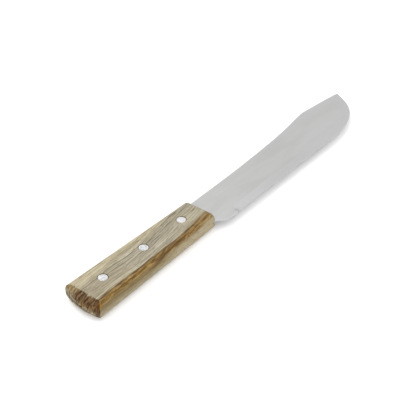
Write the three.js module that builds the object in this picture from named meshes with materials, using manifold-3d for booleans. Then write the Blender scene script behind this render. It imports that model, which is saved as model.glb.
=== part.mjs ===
// Butcher knife with a riveted one-piece wooden handle, lying on its side.
// Millimetres. +X runs from the butt to the tip, +Y from the cutting edge to the spine, +Z is up.
// The knife is drawn about its middle rivet, with the blade's mid-plane at z = 0, and is then moved
// as a whole so that the origin is the centre of the base of its bounding box.

import * as THREE from "three";
import { mergeVertices } from "three/addons/utils/BufferGeometryUtils.js";
import Module from "manifold-3d";

const wasm = await Module();
wasm.setup();

// ---- driving dimensions -------------------------------------------------------------------------

const CLEARANCE = 0.3; // between pieces that touch on the real knife
const PAST = 5; // how far a cutting tool runs past the surface it cuts

const HANDLE = {
  front: 54.5,
  butt: -59.7,
  widthAtFront: 25.9,
  widthAtButt: 31.5,
  thickness: 11.4,
  edgeRadiusAtFront: 4.1,
  edgeRadiusAtButt: 4.9,
  buttArcRadius: 40.5, // the butt's rounding seen from above
  buttArcCentreY: -3.85,
  buttRoll: 5.9, // how far the butt leans forward where it meets the faces
  buttRollPower: 3.2, // the higher, the flatter the butt is at mid-height
};

const SLOT = {
  width: 2,
  rootAtButt: -2.8, // y of the saw cut's floor at the butt
  exitX: 50, // where the cut runs out through the cutting-edge side
};

const BLADE = {
  thickness: 1.5,
  edgeThickness: 0.3,
  grindWidth: 6.2,
  grindRelief: 0.01, // keeps the grinding tool's flats clear of the plate's
  spineAtHandle: 11.65,
  bellyAtHandle: -12.4,
  edgeY: -17.8,
  tipX: 253.2,
  tipY: 15.7,
  tangEnd: -48,
  tangInset: 1.3, // of the tang's spine side below the handle's
};

const RIVET = {
  pitch: 37,
  y: 1.25,
  headRadius: 3.17,
  headHeight: 1.1,
  headChamfer: 0.25,
  sunk: 0.1, // how far the head lies below the handle's face
  tubeRadius: 2,
  tubeEnd: -2.8,
  pinRadius: 1.1,
  pinEnd: 3.2,
  pinChamfer: 0.3,
};

const RIVETS = [
  { place: "rear", x: -RIVET.pitch },
  { place: "middle", x: 0 },
  { place: "front", x: RIVET.pitch },
];

const ROUND_SEGMENTS = 40;
const halfThickness = HANDLE.thickness / 2;
const holeRadius = RIVET.tubeRadius + CLEARANCE;

// ---- helpers ------------------------------------------------------------------------------------

// Turns a closed three.js geometry into a solid that can be cut and joined.
function solid(geometry) {
  const bare = geometry.clone();
  bare.deleteAttribute("normal");
  bare.deleteAttribute("uv");
  const merged = mergeVertices(bare, 1e-5);
  return new wasm.Manifold(
    new wasm.Mesh({
      numProp: 3,
      vertProperties: new Float32Array(merged.attributes.position.array),
      triVerts: new Uint32Array(merged.index.array),
    }),
  );
}

// Turns a cut solid back into a three.js geometry.
function geometryOf(cutSolid) {
  const mesh = cutSolid.getMesh();
  const geometry = new THREE.BufferGeometry();
  geometry.setAttribute("position", new THREE.BufferAttribute(mesh.vertProperties, 3));
  geometry.setIndex(new THREE.BufferAttribute(mesh.triVerts, 1));
  geometry.computeVertexNormals();
  return geometry;
}

// A plan outline raised into a plate centred on z = 0.
function plate(shape, thickness, curveSegments = 24) {
  const geometry = new THREE.ExtrudeGeometry(shape, {
    depth: thickness,
    bevelEnabled: false,
    curveSegments,
  });
  return geometry.translate(0, 0, -thickness / 2);
}

// An outline drawn in Y and Z, run along X from one place to another.
function barAlongX(shape, from, to, curveSegments = 8) {
  const geometry = new THREE.ExtrudeGeometry(shape, {
    depth: to - from,
    bevelEnabled: false,
    curveSegments,
  });
  const alongX = new THREE.Matrix4().makeBasis(
    new THREE.Vector3(0, 1, 0),
    new THREE.Vector3(0, 0, 1),
    new THREE.Vector3(1, 0, 0),
  );
  return geometry.applyMatrix4(alongX).translate(from, 0, 0);
}

// An upright cylinder between two heights, over a point in plan.
function uprightCylinder(radius, x, y, low, high) {
  const geometry = new THREE.CylinderGeometry(radius, radius, high - low, ROUND_SEGMENTS);
  return geometry.rotateX(Math.PI / 2).translate(x, y, (low + high) / 2);
}

function polygon(points) {
  return new THREE.Shape(points.map(([x, y]) => new THREE.Vector2(x, y)));
}

// A closed surface through rings of points, each ring with the same number of points and
// counter-clockwise seen from +X. The first ring is the one nearest +X.
function loft(rings) {
  const size = rings[0].length;
  const ends = [rings[0], rings[rings.length - 1]].map((ring) =>
    ring.reduce((sum, point) => sum.add(point), new THREE.Vector3()).divideScalar(size),
  );
  const points = [...rings.flat(), ...ends];
  const frontCentre = points.length - 2;
  const backCentre = points.length - 1;
  const backStart = (rings.length - 1) * size;
  const index = [];
  for (let i = 0; i < size; i += 1) {
    const j = (i + 1) % size;
    index.push(frontCentre, i, j, backCentre, backStart + j, backStart + i);
    for (let a = 0; a < backStart; a += size) {
      const b = a + size;
      index.push(a + i, b + i, b + j, a + i, b + j, a + j);
    }
  }
  const geometry = new THREE.BufferGeometry().setFromPoints(points);
  return geometry.setIndex(index);
}

// The [y, z] points of a rounded rectangle, with the long sides divided.
function roundedSection(halfWidth, halfHeight, radius, cornerSteps = 7, faceSteps = 8) {
  const y = halfWidth - radius;
  const z = halfHeight - radius;
  const points = [];
  [[y, z], [-y, z], [-y, -z], [y, -z]].forEach(([centreY, centreZ], quarter) => {
    for (let i = 0; i <= cornerSteps; i += 1) {
      const angle = (Math.PI / 2) * (quarter + i / cornerSteps);
      points.push([centreY + radius * Math.cos(angle), centreZ + radius * Math.sin(angle)]);
    }
    if (quarter % 2 === 0) {
      const [fromY, fromZ] = points[points.length - 1];
      for (let i = 1; i < faceSteps; i += 1) {
        points.push([THREE.MathUtils.lerp(fromY, -fromY, i / faceSteps), fromZ]);
      }
    }
  });
  return points;
}

// The y of the saw cut's floor, which slopes from the butt to its exit near the handle's front.
function slotFloorY(x) {
  const exitY = -handleWidth(SLOT.exitX) / 2;
  return THREE.MathUtils.mapLinear(x, HANDLE.butt, SLOT.exitX, SLOT.rootAtButt, exitY);
}

function handleWidth(x) {
  return THREE.MathUtils.mapLinear(
    x, HANDLE.butt, HANDLE.front, HANDLE.widthAtButt, HANDLE.widthAtFront,
  );
}

// ---- handle -------------------------------------------------------------------------------------

// The butt's surface: an arc in plan that curves forward to meet the upper and lower faces.
function buttX(y, z) {
  const offset = y - HANDLE.buttArcCentreY;
  const rise = HANDLE.buttArcRadius - Math.sqrt(HANDLE.buttArcRadius ** 2 - offset ** 2);
  const arc = HANDLE.butt + rise;
  const face = Math.max(HANDLE.butt + HANDLE.buttRoll, arc);
  const height = Math.min(Math.abs(z) / halfThickness, 1);
  return THREE.MathUtils.lerp(arc, face, height ** HANDLE.buttRollPower);
}

// A tapered bar of rounded-rectangle section, closed by the butt's curved end.
function handleBar(capRings = 10) {
  const section = (halfWidth, radius) => roundedSection(halfWidth, halfThickness, radius);
  const front = section(HANDLE.widthAtFront / 2, HANDLE.edgeRadiusAtFront);
  const rim = section(HANDLE.widthAtButt / 2, HANDLE.edgeRadiusAtButt);
  const rings = [front.map(([y, z]) => new THREE.Vector3(HANDLE.front, y, z))];
  for (let k = 0; k < capRings; k += 1) {
    const size = 1 - k / capRings;
    rings.push(rim.map(([rimY, rimZ]) => {
      const y = rimY * size;
      const z = rimZ * size;
      return new THREE.Vector3(buttX(y, z), y, z);
    }));
  }
  return solid(loft(rings));
}

// The saw cut for the tang: open along the spine side, at the front and at the butt.
function slotTool() {
  const behind = HANDLE.butt - PAST;
  const ahead = HANDLE.front + PAST;
  const above = HANDLE.widthAtButt;
  const outline = polygon([
    [behind, slotFloorY(behind)],
    [ahead, slotFloorY(ahead)],
    [ahead, above],
    [behind, above],
  ]);
  return solid(plate(outline, SLOT.width));
}

function handleSolid() {
  let bar = handleBar().subtract(slotTool());
  const top = halfThickness + PAST;
  const seat = halfThickness - RIVET.sunk - RIVET.headHeight - CLEARANCE;
  const seatRadius = RIVET.headRadius + CLEARANCE;
  for (const { x } of RIVETS) {
    bar = bar
      .subtract(solid(uprightCylinder(holeRadius, x, RIVET.y, -top, top)))
      .subtract(solid(uprightCylinder(seatRadius, x, RIVET.y, seat, top)))
      .subtract(solid(uprightCylinder(seatRadius, x, RIVET.y, -top, -seat)));
  }
  return bar;
}

// ---- blade --------------------------------------------------------------------------------------

function bladeOutline() {
  const gap = 1.5 * CLEARANCE;
  const tangFrontX = SLOT.exitX - gap;
  const tangSpineY = handleWidth(BLADE.tangEnd) / 2 - BLADE.tangInset;
  const shape = new THREE.Shape();

  // tang: its cutting-edge side follows the floor of the saw cut
  shape.moveTo(BLADE.tangEnd, tangSpineY);
  shape.lineTo(BLADE.tangEnd, slotFloorY(BLADE.tangEnd) + gap);
  shape.lineTo(tangFrontX, slotFloorY(tangFrontX) + gap);
  shape.lineTo(HANDLE.front + gap, BLADE.bellyAtHandle);

  // heel, straight cutting edge, and the curve that sweeps up to the tip
  shape.bezierCurveTo(59.5, BLADE.bellyAtHandle, 57.8, BLADE.edgeY, 66.5, BLADE.edgeY);
  shape.lineTo(188, BLADE.edgeY);
  shape.bezierCurveTo(233.5, BLADE.edgeY, 244.2, -1.3, BLADE.tipX, BLADE.tipY);

  // clipped back, hump, hollow and straight spine
  shape.lineTo(210.1, 20);
  shape.quadraticCurveTo(206.2, 20.4, 190.1, 17.9);
  shape.bezierCurveTo(164.5, 14, 113.2, 12.35, 87.2, 12.05);
  shape.lineTo(HANDLE.front, BLADE.spineAtHandle);
  shape.closePath();

  for (const { x } of RIVETS) {
    const hole = new THREE.Path();
    hole.absarc(x, RIVET.y, holeRadius, 0, 2 * Math.PI, true);
    shape.holes.push(hole);
  }
  return shape;
}

// The blade's section: parallel flats that taper to the cutting edge.
function grindTool() {
  const half = BLADE.thickness / 2 + BLADE.grindRelief;
  const halfEdge = BLADE.edgeThickness / 2;
  const shoulder = BLADE.edgeY + BLADE.grindWidth;
  const spine = BLADE.tipY + 2 * PAST;
  const section = polygon([
    [BLADE.edgeY - PAST, -halfEdge],
    [BLADE.edgeY, -halfEdge],
    [shoulder, -half],
    [spine, -half],
    [spine, half],
    [shoulder, half],
    [BLADE.edgeY, halfEdge],
    [BLADE.edgeY - PAST, halfEdge],
  ]);
  return solid(barAlongX(section, BLADE.tangEnd - PAST, BLADE.tipX + PAST));
}

function bladeSolid() {
  return solid(plate(bladeOutline(), BLADE.thickness)).intersect(grindTool());
}

// ---- rivets -------------------------------------------------------------------------------------

// Two-part cutlery rivets. The socket half is a head on a blind tube and the pin half is a head on
// a solid pin that is pressed up inside the tube.
function socketGeometry() {
  const top = halfThickness - RIVET.sunk;
  const under = top - RIVET.headHeight;
  const bore = RIVET.pinRadius + CLEARANCE;
  const boreTop = RIVET.pinEnd + CLEARANCE;
  return turned([
    [0, boreTop],
    [bore, boreTop],
    [bore, RIVET.tubeEnd],
    [RIVET.tubeRadius, RIVET.tubeEnd],
    [RIVET.tubeRadius, under],
    [RIVET.headRadius, under],
    [RIVET.headRadius, top - RIVET.headChamfer],
    [RIVET.headRadius - RIVET.headChamfer, top],
    [0, top],
  ]);
}

function pinGeometry() {
  const bottom = -halfThickness + RIVET.sunk;
  const over = bottom + RIVET.headHeight;
  return turned([
    [0, bottom],
    [RIVET.headRadius - RIVET.headChamfer, bottom],
    [RIVET.headRadius, bottom + RIVET.headChamfer],
    [RIVET.headRadius, over],
    [RIVET.pinRadius, over],
    [RIVET.pinRadius, RIVET.pinEnd - RIVET.pinChamfer],
    [RIVET.pinRadius - RIVET.pinChamfer, RIVET.pinEnd],
    [0, RIVET.pinEnd],
  ]);
}

// A profile of [radius, height] points turned about the upright axis.
function turned(profile) {
  const points = profile.map(([radius, height]) => new THREE.Vector2(radius, height));
  return new THREE.LatheGeometry(points, ROUND_SEGMENTS).rotateX(Math.PI / 2);
}

// ---- materials and assembly ---------------------------------------------------------------------

const steel = new THREE.MeshStandardMaterial({ color: 0xc3c3c0, roughness: 0.38, metalness: 1 });
const wood = new THREE.MeshStandardMaterial({ color: 0xa8905f, roughness: 0.62, metalness: 0 });
const aluminium = new THREE.MeshStandardMaterial({
  color: 0xe6e6e8, roughness: 0.3, metalness: 1,
});

function part(name, geometry, material) {
  const mesh = new THREE.Mesh(geometry, material);
  mesh.name = name;
  return mesh;
}

const knife = new THREE.Group();
knife.add(part("blade", geometryOf(bladeSolid()), steel));
knife.add(part("handle", geometryOf(handleSolid()), wood));
for (const { place, x } of RIVETS) {
  const socket = part(`rivet_socket_${place}`, socketGeometry(), aluminium);
  const pin = part(`rivet_pin_${place}`, pinGeometry(), aluminium);
  for (const half of [socket, pin]) {
    half.position.set(x, RIVET.y, 0);
    knife.add(half);
  }
}

const extent = new THREE.Box3().setFromObject(knife, true);
const centre = extent.getCenter(new THREE.Vector3());
knife.position.set(-centre.x, -centre.y, -extent.min.z);

export default knife;
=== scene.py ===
"""Looks for the butcher knife: a ground steel blade, a slotted wooden handle and three rivets.

Shapes are drawn in millimetres about the knife's datum: x from the middle rivet towards the tip,
y from the handle's centreline towards the spine, and z up from the blade's mid-plane. row() takes
such a point to the part's own frame, in metres.
"""

import math

import bmesh
import bpy
from mathutils import Matrix, Vector


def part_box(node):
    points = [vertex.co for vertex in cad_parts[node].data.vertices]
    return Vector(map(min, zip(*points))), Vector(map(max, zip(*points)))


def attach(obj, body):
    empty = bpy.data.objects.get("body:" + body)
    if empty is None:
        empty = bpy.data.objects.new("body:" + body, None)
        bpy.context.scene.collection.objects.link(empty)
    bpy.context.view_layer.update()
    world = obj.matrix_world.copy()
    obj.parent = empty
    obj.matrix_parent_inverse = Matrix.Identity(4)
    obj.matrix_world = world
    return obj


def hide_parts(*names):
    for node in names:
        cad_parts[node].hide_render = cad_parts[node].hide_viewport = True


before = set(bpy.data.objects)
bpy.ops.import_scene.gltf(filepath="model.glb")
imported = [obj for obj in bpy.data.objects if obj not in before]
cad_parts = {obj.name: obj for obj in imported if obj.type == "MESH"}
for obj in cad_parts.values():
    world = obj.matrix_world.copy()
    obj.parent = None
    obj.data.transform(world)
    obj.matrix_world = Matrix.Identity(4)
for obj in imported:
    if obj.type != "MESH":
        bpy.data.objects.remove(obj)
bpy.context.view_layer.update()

# ---- datum and dimensions, from the frame ---------------------------------------------------------

MM = 0.001

blade_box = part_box("blade")
handle_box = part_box("handle")
socket_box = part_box("rivet_socket_middle")

DATUM = Vector((
    (socket_box[0].x + socket_box[1].x) / 2,
    (handle_box[0].y + handle_box[1].y) / 2,
    (blade_box[0].z + blade_box[1].z) / 2,
))


def from_datum(point):
    """A point of the part's frame, in millimetres from the datum."""
    return (point - DATUM) / MM


def row(x, y, z):
    """A point given in millimetres from the datum, in the part's frame."""
    return DATUM + Vector((x, y, z)) * MM


FRONT = from_datum(handle_box[1]).x
BUTT = from_datum(handle_box[0]).x
HALF_THICKNESS = from_datum(handle_box[1]).z
TANG_END = from_datum(blade_box[0]).x
TIP_X = from_datum(blade_box[1]).x
EDGE_Y = from_datum(blade_box[0]).y
HALF_BLADE = from_datum(blade_box[1]).z

# rivets
RIVET_PLACES = ("rear", "middle", "front")
RIVET_Y = from_datum((socket_box[0] + socket_box[1]) / 2).y
HEAD_RADIUS = (socket_box[1].x - socket_box[0].x) / 2 / MM

# handle: a tapering block, round in plan at the butt, where it rolls over to the faces
WIDTH_AT_BUTT = 31.5
WIDTH_AT_FRONT = 25.9
EDGE_RADIUS_AT_BUTT = 4.9
EDGE_RADIUS_AT_FRONT = 4.1
BUTT_ARC_RADIUS = 40.5
BUTT_ARC_Y = -3.85
BUTT_ROLL = 5.9
BUTT_ROLL_POWER = 3.2

# blade: HEEL_SQUARED is where the bevel's direction turns to be square to the edge
SPINE_AT_HANDLE = 11.65
BELLY_AT_HANDLE = -12.4
TIP_Y = 15.7
GRIND_WIDTH = 6.2
HEEL_SQUARED = (68.0, 80.0)
PLUNGE_X = 75.0
PLUNGE_HALF = 2.5

# saw cut and tang: the cut is pinched nearly shut behind the tang
SLOT_EXIT_X = 52.0
SLOT_ROOT_AT_BUTT = -2.8
SLOT_GAP = 0.1
SLOT_ROOT_FILLET = 0.25
SLOT_PINCH_HEIGHT = 2.4
PINCH_STARTS = TANG_END - 1.0
PINCH_ENDS = BUTT + 2.0
PINCHED_ROOT_HALF = 0.62
PINCHED_LIP_HALF = 0.16
SLOT_STEPS = 60
TANG_CLEARANCE = 0.45
TANG_INSET = 1.3

# rivet holes and the seats for the heads
HOLE_RADIUS = 2.3
SEAT_GAP = 0.24
SEAT_DEPTH = 1.5
SEAT_FLARE = 0.12

# how far a cutting tool runs past what it cuts, and how finely round shapes are stepped
OVERCUT = 1.0
ROUND_SEGMENTS = 72
EASE_STEPS = 4

# ---- small helpers --------------------------------------------------------------------------------


def lerp(a, b, t):
    return a + (b - a) * t


def smoothstep(low, high, value):
    t = min(max((value - low) / (high - low), 0.0), 1.0)
    return t * t * (3 - 2 * t)


def bezier(start, first, second, end, steps):
    """Points of a cubic curve, without its start."""
    points = []
    for i in range(1, steps + 1):
        t = i / steps
        s = 1 - t
        points.append(
            start * s**3 + first * (3 * s * s * t) + second * (3 * s * t * t) + end * t**3
        )
    return points


def resample(path, count):
    """The same path with points at equal distances."""
    lengths = [0.0]
    for a, b in zip(path, path[1:]):
        lengths.append(lengths[-1] + (b - a).length)
    points = []
    k = 0
    for i in range(count):
        wanted = lengths[-1] * i / (count - 1)
        while k < len(path) - 2 and lengths[k + 1] < wanted:
            k += 1
        t = (wanted - lengths[k]) / (lengths[k + 1] - lengths[k])
        points.append(path[k].lerp(path[k + 1], min(t, 1.0)))
    return points


def as_object(name, bm):
    """A new object of the scene, made from finished mesh code."""
    mesh = bpy.data.meshes.new(name)
    bm.to_mesh(mesh)
    bm.free()
    obj = bpy.data.objects.new(name, mesh)
    bpy.context.scene.collection.objects.link(obj)
    return obj


def skin(name, rings, sharp_lines=()):
    """A closed mesh through rings of (x, y, z) points. sharp_lines are the places round a ring
    where a crease runs from ring to ring."""
    bm = bmesh.new()
    rows = [[bm.verts.new(row(*point)) for point in ring] for ring in rings]
    for a, b in zip(rows, rows[1:]):
        for i in range(len(a)):
            j = (i + 1) % len(a)
            bm.faces.new((a[i], a[j], b[j], b[i]))
    bm.faces.new(list(reversed(rows[0])))
    bm.faces.new(rows[-1])
    bmesh.ops.recalc_face_normals(bm, faces=bm.faces)
    for face in bm.faces:
        face.smooth = True
    for a, b in zip(rows, rows[1:]):
        for i in sharp_lines:
            bm.edges.get((a[i], b[i])).smooth = False
    return as_object(name, bm)


def turned(name, profile, x, segments=ROUND_SEGMENTS):
    """A solid of revolution about the upright axis of the rivet at x, from (radius, height) points
    whose first and last lie on the axis."""
    bm = bmesh.new()
    low = bm.verts.new(row(x, RIVET_Y, profile[0][1]))
    high = bm.verts.new(row(x, RIVET_Y, profile[-1][1]))
    rings = []
    for radius, height in profile[1:-1]:
        ring = []
        for i in range(segments):
            angle = 2 * math.pi * i / segments
            ring.append(bm.verts.new(
                row(x + radius * math.cos(angle), RIVET_Y + radius * math.sin(angle), height)
            ))
        rings.append(ring)
    for i in range(segments):
        j = (i + 1) % segments
        bm.faces.new((low, rings[0][j], rings[0][i]))
        bm.faces.new((high, rings[-1][i], rings[-1][j]))
        for a, b in zip(rings, rings[1:]):
            bm.faces.new((a[i], a[j], b[j], b[i]))
    bmesh.ops.recalc_face_normals(bm, faces=bm.faces)
    return as_object(name, bm)


def cut(obj, tool):
    """Cuts the tool's solid out of obj and removes the tool."""
    modifier = obj.modifiers.new("cut", "BOOLEAN")
    modifier.operation = "DIFFERENCE"
    modifier.solver = "EXACT"
    modifier.object = tool
    apply_modifiers(obj)
    bpy.data.objects.remove(tool)


def apply_modifiers(obj):
    graph = bpy.context.evaluated_depsgraph_get()
    made = bpy.data.meshes.new_from_object(obj.evaluated_get(graph))
    obj.modifiers.clear()
    obj.data = made


def crease_by_angle(obj, degrees):
    """Smooth shading, with creases where faces meet at more than the angle."""
    bm = bmesh.new()
    bm.from_mesh(obj.data)
    limit = math.radians(degrees)
    for face in bm.faces:
        face.smooth = True
    for edge in bm.edges:
        edge.smooth = len(edge.link_faces) == 2 and edge.calc_face_angle() < limit
    bm.to_mesh(obj.data)
    bm.free()


# ---- camera ---------------------------------------------------------------------------------------

# the target in millimetres from the datum, angles in degrees, distances in metres
CAMERA_TARGET = (64.1, 0.32, 0.0)
CAMERA_AZIMUTH = -52.77
CAMERA_ELEVATION = 35.88
CAMERA_ROLL = 0.96
CAMERA_DISTANCE = 0.632
CAMERA_LENS = 82.04
CAMERA_NEAR = 0.01
CAMERA_FAR = 20.0


def make_camera():
    """Looks at the target from the azimuth, which is measured from the -Y side towards +X."""
    azimuth = math.radians(CAMERA_AZIMUTH)
    elevation = math.radians(CAMERA_ELEVATION)
    back = Vector((
        math.sin(azimuth) * math.cos(elevation),
        -math.cos(azimuth) * math.cos(elevation),
        math.sin(elevation),
    ))
    data = bpy.data.cameras.new("camera")
    data.lens = CAMERA_LENS
    data.clip_start = CAMERA_NEAR
    data.clip_end = CAMERA_FAR
    camera = bpy.data.objects.new("camera", data)
    bpy.context.scene.collection.objects.link(camera)
    roll = Matrix.Rotation(math.radians(CAMERA_ROLL), 4, "Z")
    turn = (-back).to_track_quat("-Z", "Y").to_matrix().to_4x4() @ roll
    camera.matrix_world = Matrix.Translation(row(*CAMERA_TARGET) + back * CAMERA_DISTANCE) @ turn
    bpy.context.scene.camera = camera


# ---- blade ----------------------------------------------------------------------------------------

# how finely the blade is stepped, along it, across its flats and round its outline
RIBS = 240
TANG_RIBS = 30
FLAT_STEPS = 8
HEEL_STEPS = 24
SWEEP_STEPS = 60
HUMP_STEPS = 16

# half the thickness at the edge and at the top of its honed bevel, and the eased spine
EDGE_HALF = 0.03
BEVEL_WIDTH = 0.45
BEVEL_HALF = 0.27
SPINE_EASE = 0.16

# the most that the bevels and the eased spine may take of the blade's width, near the tip
MOST_GRIND = 0.42
MOST_BEVEL = 0.1
MOST_EASE = 0.2

# where the edge starts and the tang's ribs stop, and how far the last rib reaches to the tip
HEEL_X = FRONT + 0.45
TANG_STOP = FRONT - 0.5
TIP_REACH = 0.92


def handle_half_width(x):
    """Half of the handle's width at x, on its straight taper."""
    t = (x - BUTT) / (FRONT - BUTT)
    return lerp(WIDTH_AT_BUTT, WIDTH_AT_FRONT, t) / 2


def slot_floor_y(x):
    """The bottom of the saw cut, which runs out through the cutting-edge side near the front."""
    t = (x - BUTT) / (SLOT_EXIT_X - BUTT)
    return lerp(SLOT_ROOT_AT_BUTT, -handle_half_width(SLOT_EXIT_X), t)


def edge_path():
    """From the handle's front, round the heel and along the cutting edge to the tip."""
    start = Vector((HEEL_X, BELLY_AT_HANDLE))
    heel_end = Vector((66.5, EDGE_Y))
    sweep_start = Vector((188.0, EDGE_Y))
    tip = Vector((TIP_X, TIP_Y))
    path = [start]
    path += bezier(
        start, Vector((59.5, BELLY_AT_HANDLE)), Vector((57.8, EDGE_Y)), heel_end, HEEL_STEPS
    )
    path.append(sweep_start)
    path += bezier(
        sweep_start, Vector((233.5, EDGE_Y)), Vector((244.2, -1.3)), tip, SWEEP_STEPS
    )
    return path


def spine_path():
    """From the handle's front along the spine, over the hump and down the clip to the tip."""
    start = Vector((FRONT, SPINE_AT_HANDLE))
    straight_end = Vector((87.2, 12.05))
    hump_start = Vector((190.1, 17.9))
    hump = Vector((206.2, 20.4))
    hump_end = Vector((210.1, 20.0))
    path = [start, straight_end]
    path += bezier(
        straight_end, Vector((113.2, 12.35)), Vector((164.5, 14.0)), hump_start, SWEEP_STEPS
    )
    path += bezier(
        hump_start, hump_start.lerp(hump, 2 / 3), hump_end.lerp(hump, 2 / 3), hump_end,
        HUMP_STEPS,
    )
    path.append(Vector((TIP_X, TIP_Y)))
    return path


def rib(edge, spine, inward, ground):
    """One closed ring round the blade's section, from the edge to the spine and back below.
    ground is 0 where the plate has its full thickness and 1 where the edge is ground. inward is
    the direction from the edge across the bevel."""
    length = (spine - edge).length
    grind = min(GRIND_WIDTH, MOST_GRIND * length)
    bevel = min(BEVEL_WIDTH, MOST_BEVEL * length)
    ease = min(SPINE_EASE, MOST_EASE * length)
    shoulder_half = lerp(BEVEL_HALF, HALF_BLADE, grind / GRIND_WIDTH)
    shoulder = edge + inward * grind
    spine_in = spine + (shoulder - spine).normalized() * ease
    profile = [
        (edge, lerp(HALF_BLADE - ease, EDGE_HALF, ground)),
        (edge + inward * bevel, lerp(HALF_BLADE, BEVEL_HALF, ground)),
        (edge + inward * (bevel + grind) / 2, lerp(
            HALF_BLADE, (BEVEL_HALF + shoulder_half) / 2, ground
        )),
        (shoulder, lerp(HALF_BLADE, shoulder_half, ground)),
    ]
    flat_half = profile[-1][1]
    for i in range(1, FLAT_STEPS):
        profile.append((shoulder.lerp(spine_in, i / FLAT_STEPS), flat_half))
    profile.append((spine_in, flat_half))
    profile.append((spine, flat_half - ease))
    upper = [(point.x, point.y, half) for point, half in profile]
    lower = [(point.x, point.y, -half) for point, half in reversed(profile)]
    return upper + lower


def tang_ribs():
    """Ribs across the tang, from its end to just inside the handle's front."""
    ribs = []
    low_end = SLOT_EXIT_X - TANG_CLEARANCE
    spine_end = handle_half_width(TANG_END) - TANG_INSET
    for i in range(TANG_RIBS):
        x = lerp(TANG_END, TANG_STOP, i / (TANG_RIBS - 1))
        if x < low_end:
            low = slot_floor_y(x) + TANG_CLEARANCE
        else:
            t = (x - low_end) / (HEEL_X - low_end)
            low = lerp(slot_floor_y(low_end) + TANG_CLEARANCE, BELLY_AT_HANDLE, t)
        high = lerp(spine_end, SPINE_AT_HANDLE, (x - TANG_END) / (FRONT - TANG_END))
        ribs.append(rib(Vector((x, low)), Vector((x, high)), Vector((0, 1)), 0.0))
    return ribs


def blade_ribs():
    """Ribs from the handle to the tip. At the heel they lean, and ahead of it the bevel is square
    to the edge."""
    edges = resample(edge_path(), RIBS)
    spines = resample(spine_path(), RIBS)
    ribs = []
    for i in range(RIBS - 1):
        edge = edges[i]
        along = (edges[i + 1] - edges[max(i - 1, 0)]).normalized()
        square = Vector((-along.y, along.x))
        across = (spines[i] - edge).normalized()
        inward = across.lerp(square, smoothstep(*HEEL_SQUARED, edge.x)).normalized()
        ground = smoothstep(PLUNGE_X - PLUNGE_HALF, PLUNGE_X + PLUNGE_HALF, edge.x)
        ribs.append(rib(edge, spines[i], inward, ground))
    tip = edges[-1]
    ribs.append(rib(edges[-2].lerp(tip, TIP_REACH), spines[-2].lerp(tip, TIP_REACH), inward, 1.0))
    return ribs


def make_blade():
    """The blade and its tang in one plate, with creases along its bevels and its spine."""
    rings = tang_ribs() + blade_ribs()
    count = len(rings[0])
    shoulder = 3
    last = count // 2 - 1
    upper = [0, 1, shoulder, last - 1, last]
    blade = skin("blade_plate", rings, upper + [count - 1 - i for i in upper])
    reach = HALF_BLADE + OVERCUT
    for x in rivet_xs():
        drill = [(0, -reach), (HOLE_RADIUS, -reach), (HOLE_RADIUS, reach), (0, reach)]
        cut(blade, turned("hole", drill, x))
    return blade


def rivet_xs():
    """Where the rivets stand along the handle, from rear to front."""
    xs = []
    for place in RIVET_PLACES:
        low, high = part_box(f"rivet_socket_{place}")
        xs.append(from_datum((low + high) / 2).x)
    return xs


# ---- handle ---------------------------------------------------------------------------------------

FRONT_EASE = 0.35
BUTT_EASE = 0.5
CREASE_DEGREES = 28

# how finely the handle is stepped, round its section, along it and over its butt
CORNER_STEPS = 12
FACE_STEPS = 10
SIDE_STEPS = 4
STATIONS = 40
CAP_RINGS = 16
SEAT_SEGMENTS = 96


def section(half_width, half_height, radius):
    """A rounded rectangle in y and z, counter-clockwise seen from the front."""
    y = half_width - radius
    z = half_height - radius
    corners = [(y, z, 0), (-y, z, 1), (-y, -z, 2), (y, -z, 3)]
    sides = [FACE_STEPS, SIDE_STEPS, FACE_STEPS, SIDE_STEPS]
    points = []
    for (centre_y, centre_z, quarter), steps in zip(corners, sides):
        for i in range(CORNER_STEPS + 1):
            angle = math.pi / 2 * (quarter + i / CORNER_STEPS)
            points.append((
                centre_y + radius * math.cos(angle),
                centre_z + radius * math.sin(angle),
            ))
        following = corners[(quarter + 1) % 4]
        end_angle = math.pi / 2 * (quarter + 1)
        end = (
            following[0] + radius * math.cos(end_angle),
            following[1] + radius * math.sin(end_angle),
        )
        begin = points[-1]
        for i in range(1, steps):
            t = i / steps
            points.append((lerp(begin[0], end[0], t), lerp(begin[1], end[1], t)))
    return points


def butt_x(y, z):
    """The butt's surface: an arc in plan whose upper and lower parts slope back to the faces."""
    arc = BUTT + BUTT_ARC_RADIUS - math.sqrt(BUTT_ARC_RADIUS**2 - (y - BUTT_ARC_Y) ** 2)
    rim = max(BUTT + BUTT_ROLL, arc)
    return lerp(arc, rim, min(abs(z) / HALF_THICKNESS, 1.0) ** BUTT_ROLL_POWER)


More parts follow.
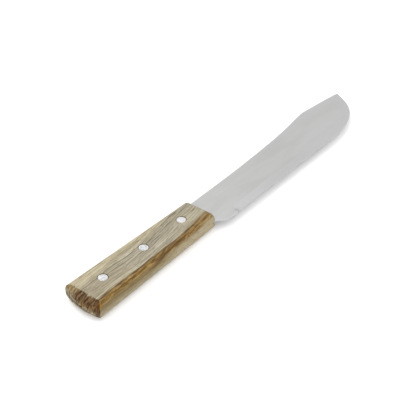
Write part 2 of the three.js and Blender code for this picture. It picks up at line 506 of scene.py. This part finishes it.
def handle_rings():
    """Closed rings that skin the handle, from its front to the middle of its butt."""
    rings = []

    # front end, eased where it meets the sides
    for k in range(EASE_STEPS + 1):
        angle = math.pi / 2 * k / EASE_STEPS
        inset = FRONT_EASE * (1 - math.sin(angle))
        x = FRONT - FRONT_EASE * (1 - math.cos(angle))
        loop = section(
            handle_half_width(x) - inset, HALF_THICKNESS - inset, EDGE_RADIUS_AT_FRONT - inset
        )
        rings.append([(x, y, z) for y, z in loop])

    # sides, back to where the butt's easing starts
    begin = FRONT - FRONT_EASE
    front_loop = section(handle_half_width(begin), HALF_THICKNESS, EDGE_RADIUS_AT_FRONT)
    butt_loop = section(handle_half_width(BUTT), HALF_THICKNESS, EDGE_RADIUS_AT_BUTT)
    for i in range(1, STATIONS + 1):
        t = i / STATIONS
        ring = []
        for (front_y, front_z), (y, z) in zip(front_loop, butt_loop):
            end = butt_x(y, z) + BUTT_EASE
            x = lerp(begin, end, t)
            share = (begin - x) / (begin - BUTT)
            ring.append((x, lerp(front_y, y, share), lerp(front_z, z, share)))
        rings.append(ring)

    # easing round the rim of the butt, then rings that close in on its middle
    rim = rings[-1]
    for k in range(1, EASE_STEPS + 1):
        angle = math.pi / 2 * k / EASE_STEPS
        shrink = BUTT_EASE * (1 - math.cos(angle))
        ring = []
        for x, y, z in rim:
            away = Vector((y, z)).normalized() * shrink
            inner_y = y - away.x
            inner_z = z - away.y
            end = butt_x(inner_y, inner_z)
            ring.append((lerp(x, end, math.sin(angle)), inner_y, inner_z))
        rings.append(ring)
    last = rings[-1]
    for k in range(1, CAP_RINGS):
        size = 1 - k / CAP_RINGS
        rings.append([(butt_x(y * size, z * size), y * size, z * size) for _, y, z in last])
    return rings


def slot_tool():
    """The saw cut: a snug fit on the tang, and pinched nearly shut behind it at the butt."""
    rings = []
    open_half = HALF_BLADE + SLOT_GAP
    past_end = 3 * OVERCUT
    lip = WIDTH_AT_BUTT
    for i in range(SLOT_STEPS + 1):
        x = lerp(BUTT - past_end, FRONT + past_end, i / SLOT_STEPS)
        pinch = smoothstep(PINCH_STARTS, PINCH_ENDS, x)
        root_half = lerp(open_half, PINCHED_ROOT_HALF, pinch)
        lip_half = lerp(open_half, PINCHED_LIP_HALF, pinch)
        middle_half = (root_half + lip_half) / 2
        root = slot_floor_y(x)
        rings.append([
            (x, root, 0.0),
            (x, root + SLOT_ROOT_FILLET, root_half),
            (x, root + SLOT_PINCH_HEIGHT, middle_half),
            (x, lip, lip_half),
            (x, lip, -lip_half),
            (x, root + SLOT_PINCH_HEIGHT, -middle_half),
            (x, root + SLOT_ROOT_FILLET, -root_half),
        ])
    return skin("slot", rings)


def rivet_hole_tool(x):
    """A stepped hole through the handle, with a seat for a rivet head at each end."""
    seat = HALF_THICKNESS - SEAT_DEPTH
    radius = HEAD_RADIUS + SEAT_GAP
    mouth = radius + 2 * SEAT_FLARE
    half = [
        (HOLE_RADIUS, seat),
        (radius, seat),
        (radius, HALF_THICKNESS - SEAT_FLARE),
        (mouth, HALF_THICKNESS + SEAT_FLARE),
        (mouth, HALF_THICKNESS + OVERCUT),
        (0, HALF_THICKNESS + OVERCUT),
    ]
    mirrored = [(r, -z) for r, z in reversed(half)]
    return turned("rivet_hole", mirrored + half, x, SEAT_SEGMENTS)


def make_handle():
    """One block of wood with the saw cut and the rivet holes cut out of it."""
    handle = skin("handle_wood", handle_rings())
    cut(handle, slot_tool())
    for x in rivet_xs():
        cut(handle, rivet_hole_tool(x))
    crease_by_angle(handle, CREASE_DEGREES)
    return handle


# ---- rivets ---------------------------------------------------------------------------------------

HEAD_TOP = from_datum(socket_box[1]).z
HEAD_HEIGHT = 1.1
HEAD_EASE = 0.14
HEAD_DOME = 0.07
DOME_STEPS = 8
PIN_RADIUS = 1.1
PIN_CHAMFER = 0.3
TUBE_RADIUS = 2.0
BORE_RADIUS = 1.4
BORE_SPARE = 0.3
TUBE_END = -2.8
PIN_END = 3.2


def head_profile():
    """The crown of a rivet head from its rim to its middle: eased edge and a faint dome."""
    points = []
    flat_radius = HEAD_RADIUS - HEAD_EASE
    for k in range(EASE_STEPS + 1):
        angle = math.pi / 2 * k / EASE_STEPS
        points.append((
            HEAD_RADIUS - HEAD_EASE * (1 - math.cos(angle)),
            HEAD_TOP - HEAD_DOME - HEAD_EASE * (1 - math.sin(angle)),
        ))
    for k in range(1, DOME_STEPS + 1):
        radius = flat_radius * (1 - k / DOME_STEPS)
        rise = HEAD_DOME * (1 - (radius / flat_radius) ** 2)
        points.append((radius, HEAD_TOP - HEAD_DOME + rise))
    return points


def make_socket(place, x):
    """The upper half of a rivet: a head on a blind tube."""
    profile = [
        (0, PIN_END + BORE_SPARE),
        (BORE_RADIUS, PIN_END + BORE_SPARE),
        (BORE_RADIUS, TUBE_END),
        (TUBE_RADIUS, TUBE_END),
        (TUBE_RADIUS, HEAD_TOP - HEAD_HEIGHT),
        (HEAD_RADIUS, HEAD_TOP - HEAD_HEIGHT),
    ]
    return turned(f"rivet_socket_half_{place}", profile + head_profile(), x)


def make_pin(place, x):
    """The lower half of a rivet: a head on a pin that reaches up into the tube."""
    head = [(radius, -z) for radius, z in reversed(head_profile())]
    shank = [
        (HEAD_RADIUS, HEAD_HEIGHT - HEAD_TOP),
        (PIN_RADIUS, HEAD_HEIGHT - HEAD_TOP),
        (PIN_RADIUS, PIN_END - PIN_CHAMFER),
        (PIN_RADIUS - PIN_CHAMFER, PIN_END),
        (0, PIN_END),
    ]
    return turned(f"rivet_pin_half_{place}", head + shank, x)


# ---- material nodes -------------------------------------------------------------------------------


def srgb(red, green, blue):
    """A colour given in 0 to 255, as a linear colour."""
    def linear(value):
        share = value / 255
        return share / 12.92 if share <= 0.04045 else ((share + 0.055) / 1.055) ** 2.4
    return (linear(red), linear(green), linear(blue), 1.0)


class Shader:
    """A material under construction, with short names for the nodes that it is made of."""

    def __init__(self, name, **values):
        self.material = bpy.data.materials.new(name)
        self.material.use_nodes = True
        self.tree = self.material.node_tree
        self.surface = self.tree.nodes["Principled BSDF"]
        for socket, value in values.items():
            self.surface.inputs[socket.replace("_", " ")].default_value = value
        coordinates = self.tree.nodes.new("ShaderNodeTexCoord")
        place = self.node("Mapping", {
            "Vector": coordinates.outputs["Object"],
            "Location": tuple(-DATUM / MM),
            "Scale": (1 / MM, 1 / MM, 1 / MM),
        })
        self.x, self.y, self.z = self.split(place.outputs["Vector"])
        self.normal = self.split(coordinates.outputs["Normal"])

    def node(self, kind, inputs, **settings):
        made = self.tree.nodes.new("ShaderNode" + kind)
        for name, value in settings.items():
            setattr(made, name, value)
        for name, value in inputs.items():
            self.feed(made.inputs[name], value)
        return made

    def feed(self, socket, value):
        if isinstance(value, bpy.types.NodeSocket):
            self.tree.links.new(value, socket)
        else:
            socket.default_value = value

    def split(self, vector):
        return list(self.node("SeparateXYZ", {"Vector": vector}).outputs)

    def math(self, operation, *values):
        return self.node("Math", dict(enumerate(values)), operation=operation).outputs[0]

    def add(self, first, second):
        return self.math("ADD", first, second)

    def sub(self, first, second):
        return self.math("SUBTRACT", first, second)

    def mul(self, first, *others):
        for other in others:
            first = self.math("MULTIPLY", first, other)
        return first

    def size(self, value):
        """The value without its sign."""
        return self.math("ABSOLUTE", value)

    def ramp(self, value, low, high, low_out=0.0, high_out=1.0, smooth=True):
        """low and high may be given in either order, so that the result can fall."""
        made = self.node("MapRange", {
            "Value": value, "From Min": low, "From Max": high,
            "To Min": low_out, "To Max": high_out,
        }, interpolation_type="SMOOTHSTEP" if smooth else "LINEAR")
        return made.outputs["Result"]

    def between(self, value, low, low_full, high_full, high):
        """1 from low_full to high_full, falling to 0 at low and at high."""
        return self.mul(self.ramp(value, low, low_full), self.ramp(value, high, high_full))

    def near(self, value, centre, full, reach):
        """1 where the value is within full of the centre, falling to 0 at reach from it."""
        return self.ramp(self.size(self.sub(value, centre)), reach, full)

    def palette(self, value, low, high, stops):
        """The colours of the stops, (value, colour), at their places between low and high."""
        made = self.node("ValToRGB", {"Fac": self.ramp(value, low, high, smooth=False)})
        elements = made.color_ramp.elements
        while len(elements) < len(stops):
            elements.new(0.5)
        for element, (place, colour) in zip(elements, stops):
            element.position = (place - low) / (high - low)
            element.color = colour
        return made.outputs["Color"]

    def noise(self, x, y, z, detail=3.0, roughness=0.55, distortion=0.0):
        made = self.node("TexNoise", {
            "Vector": self.node("CombineXYZ", {"X": x, "Y": y, "Z": z}).outputs[0],
            "Scale": 1.0, "Detail": detail, "Roughness": roughness, "Distortion": distortion,
        })
        return made.outputs["Fac"]

    def stretched(self, x_scale, y_scale, z_scale, offset=0.0, **settings):
        """Noise whose grains are long where a scale, in 1/mm, is small."""
        return self.noise(
            self.add(self.mul(self.x, x_scale), offset),
            self.mul(self.y, y_scale),
            self.mul(self.z, z_scale),
            **settings,
        )

    def mix(self, share, first, second):
        """first where the share is 0, and second where it is 1."""
        made = self.node("Mix", {}, data_type="RGBA")  # its colours are sockets 6 and 7
        self.feed(made.inputs[0], share)
        self.feed(made.inputs[6], first)
        self.feed(made.inputs[7], second)
        return made.outputs[2]

    def flecked(self, colour, noise, where, *flecks):
        """The colour with flecks: each is the noise value where it starts, the one where it is
        full, its share there and its own colour."""
        for starts, full, share, tone in flecks:
            amount = self.mul(self.ramp(noise, starts, full, 0.0, share), where)
            colour = self.mix(amount, colour, tone)
        return colour

    def bump(self, height, strength, depth_mm):
        made = self.node("Bump", {
            "Height": height, "Strength": strength, "Distance": depth_mm * MM,
        })
        return made.outputs[0]

    def finish(self, colour, roughness, normal):
        self.feed(self.surface.inputs["Base Color"], colour)
        self.feed(self.surface.inputs["Roughness"], roughness)
        self.feed(self.surface.inputs["Normal"], normal)
        return self.material


# how much brighter than its own colour a surface shows under the studio light
LIGHT_FACTOR = 1.36


def seen(red, green, blue):
    """The colour of a surface that shows as this one, in 0 to 255, under the studio light."""
    shown = srgb(red, green, blue)
    return tuple(value / LIGHT_FACTOR for value in shown[:3]) + (1.0,)


# ---- wood -----------------------------------------------------------------------------------------

# In the materials, places, sizes and depths are in millimetres from the datum. A pair of colours
# is the light and the dark tone of one kind of wood or metal.
TAN = (seen(186, 176, 151), seen(166, 156, 132))
OLIVE = (seen(193, 186, 166), seen(173, 165, 146))
SPINE_TAN = (seen(210, 198, 167), seen(192, 180, 150))
GREY_BAND = seen(166, 160, 142)
FIBRE_DARK = seen(144, 134, 110)
FIBRE_LIGHT = seen(212, 203, 178)
HAIR_DARK = seen(132, 121, 96)
DARK_LINE = seen(106, 99, 81)
PORE = seen(98, 82, 54)

# The streak's colours at depths in millimetres under its boundary.
STREAK_LAYERS = [
    (-1.0, seen(150, 134, 106)),
    (-0.4, seen(101, 79, 45)),
    (0.3, seen(93, 71, 37)),
    (0.9, seen(152, 127, 80)),
    (1.6, seen(146, 114, 58)),
    (2.4, seen(106, 74, 4)),
    (3.0, seen(104, 73, 6)),
    (3.7, seen(132, 107, 62)),
    (5.1, seen(138, 117, 75)),
    (6.6, seen(127, 109, 73)),
    (9.0, seen(136, 124, 93)),
    (12.5, seen(162, 152, 125)),
]
STREAK_SHADE = seen(124, 97, 56)
STREAK_PALE = seen(172, 160, 131)
STREAK_GOLD = seen(168, 134, 78)
STREAK_FRONT = seen(164, 142, 102)
STREAK_PATH = seen(88, 62, 26)
PATCH_DARK = seen(92, 66, 26)
PATCH_LIGHT = seen(178, 144, 80)
MOTTLE_DARK = seen(96, 70, 32)
MOTTLE_LIGHT = seen(192, 158, 92)
STREAK_HAIR_DARK = seen(88, 63, 28)
STREAK_HAIR_LIGHT = seen(184, 154, 98)

DRY_END = (seen(156, 145, 118), seen(104, 91, 66))
DRY_END_ABOVE = (seen(158, 138, 98), seen(108, 88, 54))
DRY_END_BELOW = (seen(164, 155, 132), seen(118, 106, 84))
SOAKED_END = (seen(118, 90, 54), seen(54, 32, 8))
SCORCHED = seen(84, 50, 10)
AMBER = seen(166, 106, 8)
BURNT = seen(74, 46, 16)
# painted shade for the walls of the saw cut
SAW_CUT_PAINTED_SHADE = seen(84, 74, 48)


class Grain:
    """The wood's fibres. They run along the handle, and from the middle rivet on they rise towards
    the spine: across is the place across them, in millimetres."""

    def __init__(self, s):
        self.s = s
        lift = s.math("SMOOTH_MAX", s.mul(s.add(s.x, 2.0), 0.14), 0.0, 3.0)
        wander = s.stretched(0.035, 0.08, 0.08, 5.0, detail=2.0)
        self.across = s.add(s.sub(s.y, lift), s.ramp(wander, 0, 1, -1.6, 1.6, smooth=False))
        self.broad = self.noise(30.0, 3.2, 5.0, 11.0, roughness=0.5)
        self.fine = self.noise(22.0, 0.8, 2.5, 3.0, roughness=0.6)
        self.lines = self.noise(24.0, 0.75, 1.8, 47.0, detail=2.0, roughness=0.5)
        self.hair = self.noise(7.0, 0.5, 0.6, 21.0, roughness=0.6)
        self.pores = self.noise(3.4, 0.4, 0.5, 7.0, detail=2.0, roughness=0.6)

    def noise(self, length, width, depth, offset, **settings):
        """Noise in grains of about this length, width and depth in millimetres."""
        s = self.s
        along = s.add(s.mul(s.x, 1 / length), offset)
        return s.noise(along, s.mul(self.across, 1 / width), s.mul(s.z, 1 / depth), **settings)


def sapwood(s, grain):
    """Olive tan, greyer along the middle, warmer at both ends and lighter by the spine."""
    spine_side = s.ramp(s.y, 2.0, 10.0)
    tone = s.ramp(grain.broad, 0.38, 0.62)
    warmer = s.add(s.ramp(s.x, -10.0, -30.0), s.ramp(s.x, 18.0, 34.0, 0.0, 0.6))
    colour = s.mix(warmer, s.mix(tone, *OLIVE), s.mix(tone, *TAN))
    colour = s.mix(spine_side, colour, s.mix(tone, *SPINE_TAN))
    band = s.near(grain.across, 1.5, 1.5, 7.0)
    colour = s.mix(s.mul(band, s.ramp(s.x, 8.0, 44.0, 0.15, 0.8)), colour, GREY_BAND)

    plain = s.ramp(spine_side, 0.0, 1.0, 1.0, 0.7)
    colour = s.flecked(colour, grain.fine, plain, (0.44, 0.62, 0.8, FIBRE_DARK))
    colour = s.flecked(colour, grain.fine, 1.0, (0.42, 0.3, 0.4, FIBRE_LIGHT))
    colour = s.flecked(colour, grain.hair, 1.0, (0.5, 0.64, 0.6, HAIR_DARK))
    bundled = s.mul(s.ramp(band, 0.0, 1.0, 0.2, 0.85), s.ramp(s.x, -44.0, -4.0, 0.55, 1.0))
    return s.flecked(colour, grain.lines, bundled, (0.53, 0.59, 1.0, DARK_LINE))


def depth_in_streak(s):
    """How far a place is under the boundary of the dark streak, which follows the handle's corner
    on the cutting-edge side, in millimetres."""
    wobble = s.ramp(s.stretched(0.08, 0.2, 0.2, 63.0), 0, 1, -1.0, 1.0, smooth=False)
    rise = s.ramp(s.x, 24.0, 56.0, 0.0, 2.4)
    depth = s.add(s.sub(s.mul(s.x, 0.0175), s.y), s.sub(HALF_THICKNESS - 9.8, s.z))
    return s.add(s.add(depth, rise), wobble)


def streak(s, grain, depth):
    """Brown and golden layers, mottled near the boundary and paler low down at the front."""
    colour = s.palette(depth, -1.0, 13.0, STREAK_LAYERS)
    shade = s.mul(s.between(s.x, -24.0, -4.0, 18.0, 40.0), s.between(depth, -0.4, 0.6, 2.0, 4.0))
    colour = s.mix(s.mul(shade, 0.75), colour, STREAK_SHADE)
    pale = s.mul(s.ramp(s.x, -3.0, 20.0), s.ramp(depth, 4.4, 8.0))
    colour = s.mix(s.mul(pale, 0.85), colour, STREAK_PALE)
    golden = s.mul(s.between(depth, 0.3, 1.2, 4.0, 5.4), s.ramp(s.x, 12.0, 34.0, 0.0, 0.6))
    colour = s.mix(golden, colour, STREAK_GOLD)
    front = s.mul(s.ramp(s.x, 34.0, 46.0, 0.0, 0.35), s.ramp(depth, 7.0, 4.5))
    colour = s.mix(front, colour, STREAK_FRONT)

    patch = grain.noise(8.0, 1.5, 2.0, 83.0, detail=2.0, roughness=0.5)
    patched = s.mul(
        s.between(depth, -0.6, 0.6, 4.0, 6.0), s.between(s.x, -26.0, -10.0, 38.0, 48.0)
    )
    colour = s.flecked(
        colour, patch, patched, (0.5, 0.6, 0.6, PATCH_DARK), (0.46, 0.36, 0.5, PATCH_LIGHT)
    )
    mottle = grain.noise(10.0, 0.9, 1.2, 31.0, detail=4.0, roughness=0.7)
    mottled = s.ramp(depth, 7.5, 3.5, 0.3, 1.0)
    colour = s.flecked(
        colour, mottle, mottled, (0.5, 0.64, 0.75, MOTTLE_DARK), (0.46, 0.34, 0.5, MOTTLE_LIGHT)
    )
    vivid = s.ramp(depth, 6.5, 3.5, 0.3, 1.0)
    colour = s.flecked(
        colour, grain.hair, vivid,
        (0.49, 0.6, 0.7, STREAK_HAIR_DARK), (0.47, 0.36, 0.5, STREAK_HAIR_LIGHT),
    )

    # a darker path through it, deepest just ahead of the middle rivet
    path = s.add(s.ramp(s.x, 22.0, -16.0, 2.4, 7.2), s.mul(s.sub(mottle, 0.5), 3.0))
    strength = s.mul(s.ramp(s.x, -20.0, 6.0, 0.15, 0.9), s.ramp(s.x, 18.0, 36.0, 1.0, 0.3))
    return s.mix(s.mul(s.near(depth, path, 0.2, 2.2), strength), colour, STREAK_PATH)


def with_end_grain(s, colour):
    """End grain on the butt, in ragged upright stripes: soaked dark brown towards the cutting-edge
    side and the upper face, and nearly black in the corner between them."""
    rays = s.noise(
        s.mul(s.x, 0.25), s.mul(s.y, 1.1), s.mul(s.z, 0.3), roughness=0.6, distortion=0.2
    )
    stripe = s.ramp(rays, 0.42, 0.58)
    dry = s.mix(stripe, *DRY_END)
    dry = s.mix(s.ramp(s.z, 2.8, 4.6), dry, s.mix(stripe, *DRY_END_ABOVE))
    dry = s.mix(s.ramp(s.z, 0.6, -1.2), dry, s.mix(stripe, *DRY_END_BELOW))

    blot = s.noise(s.x, s.mul(s.y, 0.6), s.mul(s.z, 0.5), roughness=0.6)
    soaked = s.mul(s.ramp(s.y, 13.0, -7.0), s.ramp(s.z, -0.5, 4.8, 0.25, 1.15))
    soaked = s.add(soaked, s.mul(s.sub(blot, 0.5), 1.2))
    end_grain = s.mix(s.ramp(soaked, 0.0, 0.65), dry, s.mix(stripe, *SOAKED_END))
    scorched = s.mul(s.ramp(s.y, -9.0, -12.5), s.ramp(s.z, 3.2, 4.6, 0.0, 0.7))
    end_grain = s.mix(scorched, end_grain, SCORCHED)

    # the rays make its rim ragged, but only where the butt rolls over to the faces
    rolling = s.mul(s.ramp(s.x, -51.6, -53.4, 0.0, 0.8), s.ramp(s.size(s.z), 4.4, 5.3))
    facing = s.add(s.size(s.normal[0]), s.mul(s.sub(rays, 0.5), rolling))
    return s.mix(s.ramp(facing, 0.1, 0.24), colour, end_grain)


# the corner's place at the blade's mid-plane, and how much further forward it is at the faces
CORNER_X = -57.7
CORNER_ROLL = 3.9


def with_amber_corner(s, colour):
    """Amber and burnt lines on either side of the corner between the butt and the cutting-edge
    side, which bends with the butt's roll."""
    roll = s.math("POWER", s.size(s.mul(s.z, 1 / HALF_THICKNESS)), BUTT_ROLL_POWER)
    past_corner = s.sub(s.x, s.add(s.mul(roll, CORNER_ROLL), CORNER_X))
    corner = s.ramp(s.y, -12.0, -14.0)
    amber = s.mul(s.near(past_corner, 0.45, 0.15, 0.8), corner, s.ramp(s.z, 2.4, 4.6, 0.0, 0.85))
    colour = s.mix(amber, colour, AMBER)
    burnt = s.mul(s.near(past_corner, -0.9, 0.3, 1.0), corner)
    return s.mix(s.mul(burnt, 0.8), colour, BURNT)


def with_saw_cut_painted_shade(s, colour):
    """Painted shade down in the saw cut, on its walls and not on the ends of the handle."""
    root = s.ramp(
        s.x, BUTT, SLOT_EXIT_X, slot_floor_y(BUTT), slot_floor_y(SLOT_EXIT_X), smooth=False
    )
    wall = HALF_BLADE + SLOT_GAP
    between_walls = s.ramp(s.size(s.z), wall + 0.03, wall + 0.01)
    on_walls = s.mul(
        s.ramp(s.size(s.normal[0]), 0.6, 0.4), s.math("GREATER_THAN", s.y, s.sub(root, 0.1))
    )
    # painted shade: the cut's walls are darkened where shade falls in the gap
    cut_shade_mask = s.mul(between_walls, on_walls, s.ramp(s.x, 48.0, 36.0))
    return s.mix(cut_shade_mask, colour, SAW_CUT_PAINTED_SHADE)


def wood_material():
    """Oiled hardwood: pale sapwood, a brown streak along one corner, dark end grain, and painted
    shade in the saw cut.
    """
    s = Shader("oiled_hardwood", Specular_IOR_Level=0.2)
    grain = Grain(s)
    depth = depth_in_streak(s)
    boundary = s.add(-1.3, s.mul(s.ramp(s.x, 18.0, 34.0), -0.9))
    in_streak = s.ramp(depth, boundary, -0.4)
    colour = s.mix(in_streak, sapwood(s, grain), streak(s, grain, depth))
    colour = s.flecked(colour, grain.pores, 1.0, (0.58, 0.68, 0.5, PORE))
    colour = with_end_grain(s, colour)
    colour = with_amber_corner(s, colour)
    colour = with_saw_cut_painted_shade(s, colour)

    roughness = s.ramp(s.add(grain.fine, grain.pores), 0.7, 1.3, 0.55, 0.78)
    fibres = s.add(s.mul(grain.fine, 0.5), s.mul(grain.hair, 0.3))
    relief = s.sub(fibres, s.mul(s.ramp(grain.pores, 0.56, 0.68), 0.5))
    return s.finish(colour, roughness, s.bump(relief, 0.5, 0.2))


# ---- metals and floor -----------------------------------------------------------------------------

FLAT_STEEL = (seen(198, 198, 197), seen(192, 192, 191))
GROUND_STEEL = (seen(208, 208, 208), seen(196, 196, 197))
BRUSH_MARK = seen(184, 184, 182)
# painted light: the steel shows lighter towards the tip, most of all low down near it
STEEL_PAINTED_LIGHT_NEAR_TIP = seen(204, 204, 204)
STEEL_PAINTED_LIGHT_LOW_NEAR_TIP = seen(206, 206, 206)
# a painted highlight for the steeply leaning faces of the edge bevel and the eased spine
PAINTED_EDGE_HIGHLIGHT = seen(218, 218, 218)
PLUNGE_LINE = seen(160, 160, 158)
SCRATCH = seen(165, 165, 163)
ALUMINIUM = (seen(187, 187, 188), seen(227, 227, 227))
# painted light for the front rivet
ALUMINIUM_PAINTED_LIGHT = seen(240, 240, 240)
FLOOR_COLOUR = (0.94, 0.94, 0.94, 1.0)


def steel_material():
    """Satin steel: brushed along the flats, and ground square to the edge along the bevel, with
    painted light towards the tip and a painted highlight along the edge.
    """
    s = Shader("satin_steel", Metallic=1.0)
    brushed = s.stretched(0.05, 6.0, 6.0, 9.0, roughness=0.7)
    crossed = s.stretched(4.0, 0.15, 0.15, 4.0, roughness=0.7)
    cloud = s.stretched(0.022, 0.09, 0.09, 2.0)
    scratch = s.ramp(s.stretched(0.02, 2.2, 1.0, 17.0, detail=4.0, roughness=0.75), 0.68, 0.74)

    flat = s.mix(s.ramp(cloud, 0.35, 0.65), *FLAT_STEEL)
    flat = s.flecked(flat, brushed, 1.0, (0.5, 0.8, 0.5, BRUSH_MARK))
    # painted light: the flats grow lighter towards the tip, and more so low down near it
    flat = s.mix(s.ramp(s.x, 140.0, 210.0, 0.0, 0.3), flat, STEEL_PAINTED_LIGHT_NEAR_TIP)
    low = s.mul(s.ramp(s.x, 140.0, 175.0), s.ramp(s.y, 3.0, -5.0))
    flat = s.mix(s.mul(low, 0.35), flat, STEEL_PAINTED_LIGHT_LOW_NEAR_TIP)

    # the bevels are where the faces lean away from the flats
    lean = s.sub(1.0, s.size(s.normal[2]))
    bevel = s.mul(s.ramp(lean, 0.0008, 0.003), s.ramp(s.x, 80.0, 130.0, 1.0, 0.45))
    colour = s.mix(bevel, flat, s.mix(s.ramp(crossed, 0.35, 0.7), *GROUND_STEEL))
    # a painted highlight where the faces lean most: on the honed edge bevel and the eased spine
    colour = s.mix(s.mul(s.ramp(lean, 0.02, 0.06), 0.7), colour, PAINTED_EDGE_HIGHLIGHT)
    plunge = s.near(s.x, PLUNGE_X - 1.0, 0.3, 1.2)
    plunge = s.mul(plunge, s.ramp(s.y, EDGE_Y + 4.0, EDGE_Y + 1.5), 0.7)
    colour = s.mix(plunge, colour, PLUNGE_LINE)
    colour = s.mix(s.mul(scratch, 0.25), colour, SCRATCH)

    roughness = s.add(s.ramp(brushed, 0.3, 0.7, 0.32, 0.42), s.ramp(cloud, 0.3, 0.7, 0.0, 0.06))
    relief = s.sub(s.mul(brushed, 0.6), s.mul(scratch, 0.5))
    return s.finish(colour, roughness, s.bump(relief, 0.12, 0.02))


def rivet_material():
    """Aluminium, sanded along the handle and mottled light and dark, with painted light that makes
    the front rivet brightest.
    """
    s = Shader("sanded_aluminium", Metallic=1.0)
    mottle = s.stretched(0.7, 0.7, 0.7, 3.0, roughness=0.6)
    sanding = s.stretched(0.5, 9.0, 9.0, 8.0)
    colour = s.mix(s.ramp(mottle, 0.4, 0.6), *ALUMINIUM)
    # painted light: the rivets grow brighter towards the front one
    colour = s.mix(s.ramp(s.x, 18.0, 32.0, 0.0, 0.4), colour, ALUMINIUM_PAINTED_LIGHT)
    roughness = s.ramp(s.add(mottle, sanding), 0.6, 1.4, 0.34, 0.5)
    relief = s.add(s.mul(mottle, 0.7), s.mul(sanding, 0.3))
    return s.finish(colour, roughness, s.bump(relief, 0.25, 0.04))


def floor_material():
    """One even pale colour, for the plain floor under the knife."""
    s = Shader("pale_floor", Base_Color=FLOOR_COLOUR, Roughness=0.7, Specular_IOR_Level=0.2)
    return s.material


# ---- stage ----------------------------------------------------------------------------------------

WORLD_LIGHT = 1.2

# metres and watts
FLOOR_GAP = 0.0001
FLOOR_HALF = 4.0
KEY = {"place": (0.3, 1.6, 2.2), "diameter": 3.0, "power": 22.0}
FILL = {"place": (-1.8, -1.45, 0.85), "diameter": 2.0, "power": 34.0, "mirrored": False}


def area_light(name, place, diameter, power, mirrored=True):
    """A round soft light aimed at the knife. mirrored says whether metal and varnish show it."""
    data = bpy.data.lights.new(name, "AREA")
    data.shape = "DISK"
    data.size = diameter
    data.energy = power
    light = bpy.data.objects.new(name, data)
    light.location = place
    light.rotation_mode = "QUATERNION"
    light.rotation_quaternion = (-Vector(place)).to_track_quat("-Z", "Y")
    light.visible_glossy = mirrored
    bpy.context.scene.collection.objects.link(light)


def make_floor():
    """A wide pale floor, a hair under the handle."""
    bm = bmesh.new()
    bmesh.ops.create_grid(bm, x_segments=4, y_segments=4, size=FLOOR_HALF)
    floor = as_object("floor", bm)
    floor.data.materials.append(floor_material())
    floor.location.z = handle_box[0].z - FLOOR_GAP


def make_studio():
    """An even white surround, a large key light over the spine side and a fill from the butt."""
    world = bpy.data.worlds.new("studio")
    world.use_nodes = True
    background = world.node_tree.nodes["Background"]
    background.inputs["Color"].default_value = (1.0, 1.0, 1.0, 1.0)
    background.inputs["Strength"].default_value = WORLD_LIGHT
    bpy.context.scene.world = world
    area_light("key", **KEY)
    area_light("fill", **FILL)
    bpy.context.scene.view_settings.view_transform = "Standard"


# ---- assembly -------------------------------------------------------------------------------------


def dress(piece, material, node):
    """Gives a piece its material, puts it in place of its CAD node and lets it ride."""
    piece.data.materials.clear()
    piece.data.materials.append(material)
    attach(piece, "root")
    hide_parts(node)


make_camera()
make_floor()
make_studio()

dress(make_blade(), steel_material(), "blade")
dress(make_handle(), wood_material(), "handle")
aluminium = rivet_material()
for place, x in zip(RIVET_PLACES, rivet_xs()):
    dress(make_socket(place, x), aluminium, f"rivet_socket_{place}")
    dress(make_pin(place, x), aluminium, f"rivet_pin_{place}")
